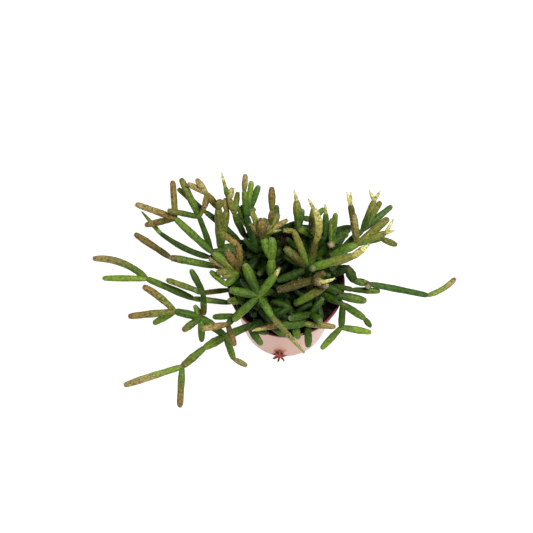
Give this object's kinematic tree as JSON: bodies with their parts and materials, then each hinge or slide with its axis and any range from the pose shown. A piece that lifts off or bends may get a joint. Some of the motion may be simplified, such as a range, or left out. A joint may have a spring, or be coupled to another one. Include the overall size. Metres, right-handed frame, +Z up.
{
  "type": "potted mistletoe cactus",
  "caption": "Bushy mistletoe cactus with branching, trailing round stems, standing in soil in a tapered round plastic nursery pot.",
  "frame": {"origin": "centre of the pot's flat base", "axes": "+Z up out of the pot, -Y towards the front that the picture shows, +X to the right"},
  "size_m": [0.3205, 0.1765, 0.1793],
  "materials": {
    "pot_plastic": "thin terracotta-coloured nursery plastic, pale and dusty outside, rust red at the rim and inside",
    "soil": null,
    "stems": null,
    "dry_roots": "dry red-brown root ends"
  },
  "bodies": {
    "root": {"pot": "pot_plastic", "soil": "soil", "root_ends": "dry_roots", "nw_fan": "stems", "nw_rear": "stems", "nnw_dark": "stems", "north_bronze": "stems", "north_olive": "stems", "north_trio": "stems", "north_green": "stems", "crown_green": "stems", "crown_bronze": "stems", "west_tuft": "stems", "west_long": "stems", "west_thick": "stems", "west_far": "stems", "west_whorl": "stems", "sw_trailing": "stems", "sw_arm": "stems", "sw_bud": "stems", "star": "stems", "west_bud": "stems", "centre_right": "stems", "centre_bronze": "stems", "centre_low": "stems", "ne_dark": "stems", "ne_teal": "stems", "ne_pair": "stems", "ne_fan": "stems", "ne_rear": "stems", "east_long": "stems", "ne_leaf": "stems", "east_low": "stems", "east_thick": "stems", "se_drop": "stems", "south_hang": "stems", "south_bar": "stems", "south_light": "stems", "south_left": "stems", "south_dark": "stems", "back_left": "stems", "back_right": "stems", "back_far": "stems", "middle_left": "stems", "middle_right": "stems", "inner_1": "stems", "inner_2": "stems", "inner_3": "stems", "inner_4": "stems", "inner_5": "stems", "inner_6": "stems", "inner_7": "stems", "inner_8": "stems", "inner_9": "stems", "inner_10": "stems", "inner_11": "stems"}
  },
  "joints": []
}
